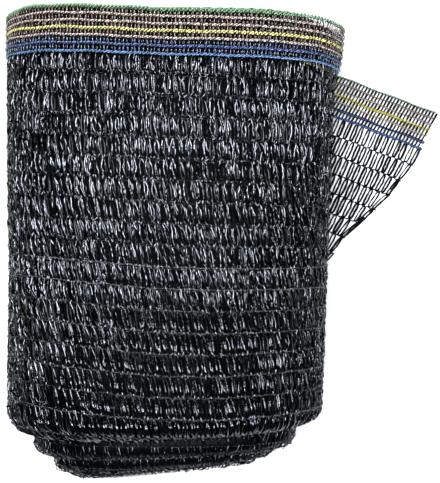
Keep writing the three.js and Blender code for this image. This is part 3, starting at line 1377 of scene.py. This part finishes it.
# The edge also draws in at the left turn.
EDGE_PINCH = (
    (0.0, 0.0), (138.0, 0.0), (158.0, -2.0), (176.0, -4.5), (200.0, -3.0), (230.0, 0.0), (360.0, 0.0),
)
# How far the chain rows of the outer layers lie above their even places, from the coloured edge down.
ROW_RISE = (
    (27.4, LEVEL),
    (40.6, (
        (0.0, 0.5), (39.0, 0.3), (60.0, -0.2), (74.0, 0.5), (90.0, 1.8),
        (133.0, 2.2), (150.0, 3.2), (200.0, 0.0), (360.0, 0.5),
    )),
    (115.0, (
        (0.0, 0.0), (39.0, 0.1), (60.0, 0.5), (74.0, 1.1), (90.0, 1.8),
        (115.0, 4.0), (133.0, 5.4), (150.0, 6.0), (220.0, 0.0), (360.0, 0.0),
    )),
    (215.0, (
        (0.0, 2.0), (39.0, 2.7), (60.0, 2.2), (74.0, 0.9), (90.0, 1.5),
        (107.0, 4.8), (133.0, 7.1), (150.0, 7.6), (220.0, 0.0), (360.0, 2.0),
    )),
    (250.0, (
        (0.0, 1.5), (39.0, 2.5), (60.0, 1.8), (74.0, 0.9), (90.0, 1.8),
        (107.0, 4.4), (133.0, 7.6), (150.0, 8.6), (220.0, 0.0), (360.0, 1.5),
    )),
    (280.0, LEVEL),
)


@dataclass
class Roll:
    """The wound roll: the inner turns, two open layers of yarn over them, and the stepped folds."""

    knit: Knit = Knit()
    oval: Oval = Oval()
    base_inset: float = 0.9
    under_depth: float = 1.6
    under_shift: float = 0.1
    rows: int = 19
    low_row: int = 12
    highlit_chain_row: int = 10
    outer_tapes: int = 2
    band_lift: float = 0.5
    bar_lean: float = -0.6
    bar_phase: float = 0.0
    wrap_phase: float = 0.5
    under_phase: float = 0.3
    knot_reach: float = 1.5
    outer_seed: int = 11
    outer_edge_seed: int = 21
    under_seed: int = 31
    under_edge_seed: int = 36
    under_chain_seed: int = 37
    fold_seed: int = 40
    fold_overlap: float = 8.0
    fold_depth: float = 0.6
    fold_back_depth: float = 0.9
    fold_back_steps: tuple[int, int] = (180, 12)
    # For each fold, how far down its first row lies and how many rows it has.
    fold_rows: tuple[tuple[float, int], ...] = ((4.0, 5), (7.0, 5), (10.0, 4))
    # The lengths of the under layer's chain: from one angle round the oval to another, and how far down.
    under_edges: tuple[tuple[float, float, float], ...] = ((46.0, 330.0, 0.0), (8.0, 42.0, 27.0))
    legs: TapeStyle = TapeStyle(
        stations=9, width=0.95, end_width=0.55, thickness=0.45, arch=0.72, twist=0.7, flutter=0.5,
        roughness=0.2, skew=0.45, uneven=0.6,
    )
    low_legs: TapeStyle = TapeStyle(
        stations=9, width=1.2, end_width=0.6, thickness=0.45, arch=1.5, slump=1.0, cant=0.0, twist=0.5,
        flutter=0.12, roughness=0.035, fall_power=5.0, uneven=0.5,
    )
    knots: TapeStyle = TapeStyle(
        stations=4, width=0.95, thickness=0.35, arch=0.5, base=0.35, lean=1.3, twist=0.5, flutter=0.4
    )
    fold_legs: TapeStyle = TapeStyle(
        stations=10, width=1.1, arch=0.8, lean=2.6, twist=0.7, flutter=0.5, roughness=0.35
    )
    under_legs: TapeStyle = TapeStyle(stations=4, arch=0.6, twist=0.5)
    low_under_legs: TapeStyle = replace(under_legs, slump=1.0, roughness=0.03)
    # The chains' tones keep them black in the upper rows and paint them pale grey further down: a painted
    # highlight on the thin yarn.
    chain: ChainStyle = ChainStyle(lift=0.1, radius=0.32, swing=0.4, tone=(0.0, 0.35))
    low_chain: ChainStyle = ChainStyle(lift=0.8, radius=0.23, swing=0.38, tone=(0.44, 0.54))
    under_chain: ChainStyle = ChainStyle(steps=2, radius=0.4, tone=(0.0, 0.3))
    under_edge_chain: ChainStyle = replace(ColouredEdge.chain, radius=0.6, lift=0.3)

    def build(self) -> None:
        """Builds and dresses every piece of the roll."""
        cloth = WoundCloth(self.oval, self.knit, wave=CLOTH_WAVE)
        sheet = cloth.build()
        yarn = [cloth.build_inner_edge()]
        yarn.extend(self.build_outer())
        yarn.extend(self.build_under())
        yarn.extend(self.build_folds())
        width, length = cloth.flat_size()

    def ply(self, depth: float, wave: Table) -> RollPly:
        """Returns a layer of the outer turns, at a depth, with the wave of its coloured edge."""
        top = self.oval.edge_line
        return RollPly(self.oval, TIERS[0], top, depth, wave, pinch=EDGE_PINCH, rise=ROW_RISE)

    def row_places(self, shift: float = 0.0) -> Array:
        """Returns the distances of the chain rows from the coloured edge, shifted by a share of a row."""
        return self.knit.band + self.knit.row_pitch * (np.arange(self.rows + 1) + shift)

    def build_outer(self) -> list[bpy.types.Object]:
        """Makes the outer layer: legs, chains, bars and the coloured chains.

        Returns:
            The new pieces.
        """
        ply = self.ply(self.base_inset, OUTER_WAVE)
        yarn = RollYarn(
            self.knit, ply, self.outer_seed, self.row_places(), self.legs, self.chain, self.low_legs,
            self.low_chain, self.low_row, self.highlit_chain_row, tapes=self.outer_tapes,
        )
        legs = StrandMesh()
        low_legs = StrandMesh()
        chains = StrandMesh()
        yarn.lay_legs(legs, low_legs)
        yarn.lay_knots(low_legs, self.knots, self.knot_reach)
        yarn.lay_chains(chains)
        pieces = [
            legs.build("roll_filler", BLACK_TAPE),
            low_legs.build("roll_low_filler", LOW_TAPE),
            chains.build("roll_chains", HIGHLIT_BLACK_CORD),
        ]
        edge = ColouredEdge(self.knit, ply, (0.0, ply.girth), True, self.outer_edge_seed, self.band_lift)
        for name, finish, style, phase in (
            ("roll_edge_bars", EDGE_BAR, edge.dashes, self.bar_phase),
            ("roll_edge_wraps", LOOSE_TAPE, edge.wraps, self.wrap_phase),
        ):
            bars = StrandMesh()
            edge.lay_bars(bars, style, self.bar_lean, phase)
            pieces.append(bars.build(name, finish))
        return pieces + edge.build_chains("roll")

    def build_under(self) -> list[bpy.types.Object]:
        """Makes the layer just under the outer one, which shows through it, with its own coloured edge.

        Returns:
            The new pieces.
        """
        ply = self.ply(self.base_inset + self.under_depth, UNDER_WAVE)
        yarn = RollYarn(
            self.knit, ply, self.under_seed, self.row_places(self.under_shift), self.under_legs,
            self.under_chain, self.low_under_legs, self.under_chain, self.low_row,
        )
        strands = StrandMesh()
        yarn.lay_legs(strands, strands)
        yarn.lay_chains(strands)
        edge = ColouredEdge(self.knit, ply, (0.0, ply.girth), True, self.under_edge_seed)
        bars = StrandMesh()
        edge.lay_bars(bars, edge.dashes, self.bar_lean, self.under_phase)
        green = Loom(StrandMesh(), ply, np.random.default_rng(self.under_chain_seed))
        for start, end, down in self.under_edges:
            span = (ply.around_at(start), ply.around_at(end))
            green.lay_chain(self.under_edge_chain, span, down, self.knit.loop_pitch, looped=False)
        return [
            strands.build("roll_under_layer", SHADED_UNDER_TAPE),
            bars.build("roll_under_bars", SHADED_UNDER_BAR),
            green.strands.build("roll_under_edge", SHADED_OLIVE_YARN, Slot.GREEN),
        ]

    def build_folds(self) -> list[bpy.types.Object]:
        """Makes the yarn on the folded edges of the inner groups of turns, and the plain turn under it.

        Returns:
            The new pieces.
        """
        strands = StrandMesh()
        backs = StrandMesh()
        steps_around, steps_down = self.fold_back_steps
        for order, (first, count) in enumerate(self.fold_rows, start=1):
            above = TIERS[order - 1]
            top = max(above.fold_left, above.fold_right) + self.fold_overlap
            ply = RollPly(self.oval, TIERS[order], top, self.fold_depth)
            rows = first + self.knit.row_pitch * np.arange(count)
            yarn = RollYarn(
                self.knit, ply, self.fold_seed + order, rows, self.fold_legs, self.chain, self.fold_legs,
                self.low_chain,
            )
            yarn.lay_legs(strands, strands)
            yarn.lay_chains(strands)
            back = replace(ply, depth=self.fold_back_depth)
            around = back.girth * np.arange(steps_around) / steps_around
            down = np.linspace(0.0, rows[-1], steps_down)
            backs.add(back.place(around[:, None], down[None, :])[None], np.zeros(1), looped=True)
        return [strands.build("roll_fold_yarn", FOLD_TAPE), backs.build("roll_fold_backs", LOOSE_TAPE)]


# How far the cut edge of the loose end has drawn back, by the distance across the cloth.
CUT_LINE = (
    (0.0, 0.0), (28.0, 1.0), (41.0, 3.0), (66.0, 10.5), (88.0, 20.5), (108.0, 31.0), (130.0, 36.5),
    (168.0, 86.5),
)


@dataclass
class LooseEnd:
    """The loose end: one open layer on the ground, with its own coloured edge and a ragged cut."""

    knit: Knit = Knit()
    seed: int = 61
    edge_seed: int = 71
    corner: tuple[float, float] = (191.6, 96.0)
    slant: float = -20.7
    height: float = 0.7
    ripple: float = 0.6
    tuck_edge: float = 142.4
    tuck_fold: float = 86.5
    width: float = 168.0
    area_samples: int = 400
    rows: int = 10
    first_loop: float = 1.4
    loop_stray: float = 0.12
    lean: float = 0.7
    lean_fade: float = 1.2
    cut_loops: int = 2
    cut_width: float = 1.3
    chain_overhang: float = 1.2
    shortest_chain: float = 3.0
    bar_start: float = 0.5
    bar_stop: float = 6.0
    bar_pitch: float = 2.42
    bar_stray: float = 0.08
    bar_lean: float = 0.16
    bar_phase: float = 0.5
    chain_start: float = 0.6
    chain_tuck: float = 112.0
    chain_lift: float = 0.75
    # Where each bunched thread starts and ends, as distances down from the coloured edge.
    cut_threads: tuple[Span, ...] = ((52.0, 84.0), (64.0, 108.0), (88.0, 130.0))
    thread_stations: int = 24
    thread_width: float = 1.0
    thread_wander: float = 0.25
    thread_inset: Span = (0.3, 1.2)
    thread_lift: Span = (0.2, 0.7)
    legs: TapeStyle = TapeStyle(
        section=Section.FLAT_TUBE, stations=9, width=1.6, end_width=1.45, thickness=0.8, arch=0.3, base=0.1,
        foot=0.35, bow=0.8, fullness=0.3, lean=0.25, twist=0.3, roughness=0.08, uneven=0.15,
    )
    bars: TapeStyle = replace(
        ColouredEdge.dashes, width=1.38, end_width=1.28, thickness=0.6, arch=0.2, base=0.9
    )
    chain: ChainStyle = ChainStyle(
        strands=2, radius=0.36, swing=0.32, lift=0.1, scallop=0.5, tone=(0.0, 0.3)
    )

    def cut_at(self, across: Array) -> Array:
        """Returns how far the cut edge has drawn back."""
        return read_table(CUT_LINE, across)

    def tuck_at(self, across: Array) -> Array:
        """Returns how far the cloth reaches under the roll."""
        return self.tuck_edge + (self.tuck_fold - self.tuck_edge) * np.asarray(across) / self.width

    def build(self) -> None:
        """Builds and dresses the loose end."""
        rng = np.random.default_rng(self.seed)
        ply = FlatPly(self.corner, self.slant, self.height, self.ripple)
        loom = Loom(StrandMesh(), ply, rng)
        places = self.knit.band + self.knit.row_pitch * np.arange(self.rows + 1)
        for start, end in zip(places, places[1:]):
            self.lay_row(loom, start, end)
        for place in places[1:]:
            cut = float(self.cut_at(place)) - rng.uniform(0.0, self.chain_overhang)
            tuck = float(self.tuck_at(place))
            if tuck - cut > self.shortest_chain * self.knit.loop_pitch:
                loom.lay_chain(self.chain, (cut, tuck), place, self.knit.loop_pitch, looped=False)
        self.lay_cut_threads(loom)
        edge = ColouredEdge(
            self.knit, ply, (self.bar_start, self.tuck_edge - self.bar_stop), False, self.edge_seed,
            lift=self.chain_lift, loose=True, bar_pitch=self.bar_pitch, stray=self.bar_stray,
        )
        edge.lay_bars(loom.strands, self.bars, self.bar_lean * self.knit.band, self.bar_phase)
        piece = loom.strands.build("loose_net", LOOSE_TAPE, Slot.BLACK, "loose_end")
        edge.span = (self.chain_start, self.chain_tuck)
        chains = edge.build_chains("loose")

    def lay_cut_threads(self, loom: Loom) -> None:
        """Lays the threads that the cut has left bunched along the edge.

        Args:
            loom: What lays them.
        """
        rng = loom.rng
        for start, end in self.cut_threads:
            down = np.linspace(start, end, self.thread_stations)
            wander = np.cumsum(rng.normal(0.0, self.thread_wander, len(down)))
            around = self.cut_at(down) + rng.uniform(*self.thread_inset) + wander
            around = around - np.linspace(0.0, wander[-1], len(down))
            loom.lay_thread(around, down, self.thread_width, rng.uniform(*self.thread_lift))

    def lay_row(self, loom: Loom, start: float, end: float) -> None:
        """Lays one row of loops, which lean with the cut edge near it.

        Args:
            loom: What lays them.
            start: The row's first chain, as a distance from the coloured edge.
            end: The row's second chain.
        """
        middle = (start + end) / 2.0
        first = float(self.cut_at(middle)) + self.first_loop
        last = float(self.tuck_at(middle))
        loops = int((last - first) / self.knit.loop_pitch)
        if loops < self.cut_loops:
            return
        order = np.arange(loops)
        places = first + order * self.knit.loop_pitch + loom.rng.normal(0.0, self.loop_stray, loops)
        along_cut = float(self.cut_at(end) - self.cut_at(start))
        leans = self.lean + (along_cut - self.lean) * np.exp(-order / self.lean_fade)
        side = np.tile([-1.0, 1.0], loops)
        around = np.repeat(places, 2)
        lean = np.repeat(leans, 2)
        cut = 2 * self.cut_loops
        thin = replace(self.legs, width=self.cut_width, end_width=self.cut_width)
        for style, part in ((thin, slice(cut)), (self.legs, slice(cut, None))):
            loom.lay_tapes(style, around[part], side[part], (start, end), lean[part])


@dataclass(frozen=True)
class SoftLight:
    """A rectangle of soft light: its place and aim in metres, its size and its power."""

    name: str
    place: Point
    aim: Point
    size: Span
    power: float
    colour: Colour = (0.93, 0.96, 1.0)


@dataclass
class Studio:
    """A pale floor, soft lights and a camera straight above the roll."""

    camera_place: Point = (0.0363, 0.0338, 0.595)
    nearest: float = 0.01
    frame_height: float = 483.0
    focal: float = 826.4
    sensor: float = 24.0
    axis_above_middle: float = 41.5
    floor_size: float = 6.0
    floor_colour: Colour = (0.75, 0.75, 0.75)
    floor_roughness: float = 0.9
    sky: float = 0.02
    lights: tuple[SoftLight, ...] = (
        SoftLight("broad_light", (0.0, 0.22, 1.25), (0.0, 0.0, 0.05), (0.9, 0.6), 30.0),
        SoftLight("key_light", (-0.1, 0.25, 1.15), (0.0, 0.0, 0.05), (0.24, 0.2), 4.0),
        SoftLight("front_light", (0.0, -0.52, 1.05), (0.0, 0.0, 0.05), (0.7, 0.08), 6.0),
    )

    def build(self) -> None:
        """Builds the floor, the lights and the camera."""
        self.build_floor()
        self.build_camera()
        for light in self.lights:
            self.build_light(light)
        world = bpy.data.worlds.new("studio_sky")
        world.use_nodes = True
        background = world.node_tree.nodes["Background"]
        background.inputs["Color"].default_value = (1.0, 1.0, 1.0, 1.0)
        background.inputs["Strength"].default_value = self.sky
        bpy.context.scene.world = world
        bpy.context.scene.view_settings.view_transform = "Standard"

    def build_floor(self) -> None:
        """Lays the floor under the roll."""
        bpy.ops.object.select_all(action="DESELECT")
        bpy.ops.mesh.primitive_plane_add(size=self.floor_size)
        floor = bpy.context.active_object
        floor.name = "floor"
        board = NodeBoard("pale_floor")
        look = {"Base Color": (*self.floor_colour, 1.0), "Roughness": self.floor_roughness}
        board.fill(board.shader, look)
        floor.data.materials.append(board.material)

    def build_camera(self) -> None:
        """Hangs the camera over the roll, looking straight down."""
        bpy.ops.object.camera_add(location=self.camera_place, rotation=(0.0, 0.0, 0.0))
        camera = bpy.context.active_object
        camera.data.sensor_fit = "VERTICAL"
        camera.data.sensor_height = self.sensor
        camera.data.lens = self.sensor * self.focal / self.frame_height
        camera.data.shift_y = -self.axis_above_middle / self.frame_height
        camera.data.clip_start = self.nearest
        bpy.context.scene.camera = camera

    def build_light(self, light: SoftLight) -> None:
        """Hangs one soft light.

        Args:
            light: What it is like.
        """
        bpy.ops.object.light_add(type="AREA", location=light.place)
        lamp = bpy.context.active_object
        lamp.name = light.name
        lamp.data.shape = "RECTANGLE"
        lamp.data.size, lamp.data.size_y = light.size
        lamp.data.energy = light.power
        lamp.data.color = light.colour
        aim = np.array(light.aim) - np.array(light.place)
        tilt = math.atan2(math.hypot(aim[0], aim[1]), -aim[2])
        heading = math.atan2(aim[0], -aim[1]) + math.pi
        lamp.rotation_euler = (tilt, 0.0, heading)


def main() -> None:
    """Builds the studio and the cloth."""
    logging.basicConfig(level=logging.INFO, format="%(message)s")
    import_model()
    Studio().build()
    Roll().build()
    LooseEnd().build()


if __name__ == "__main__":
    main()
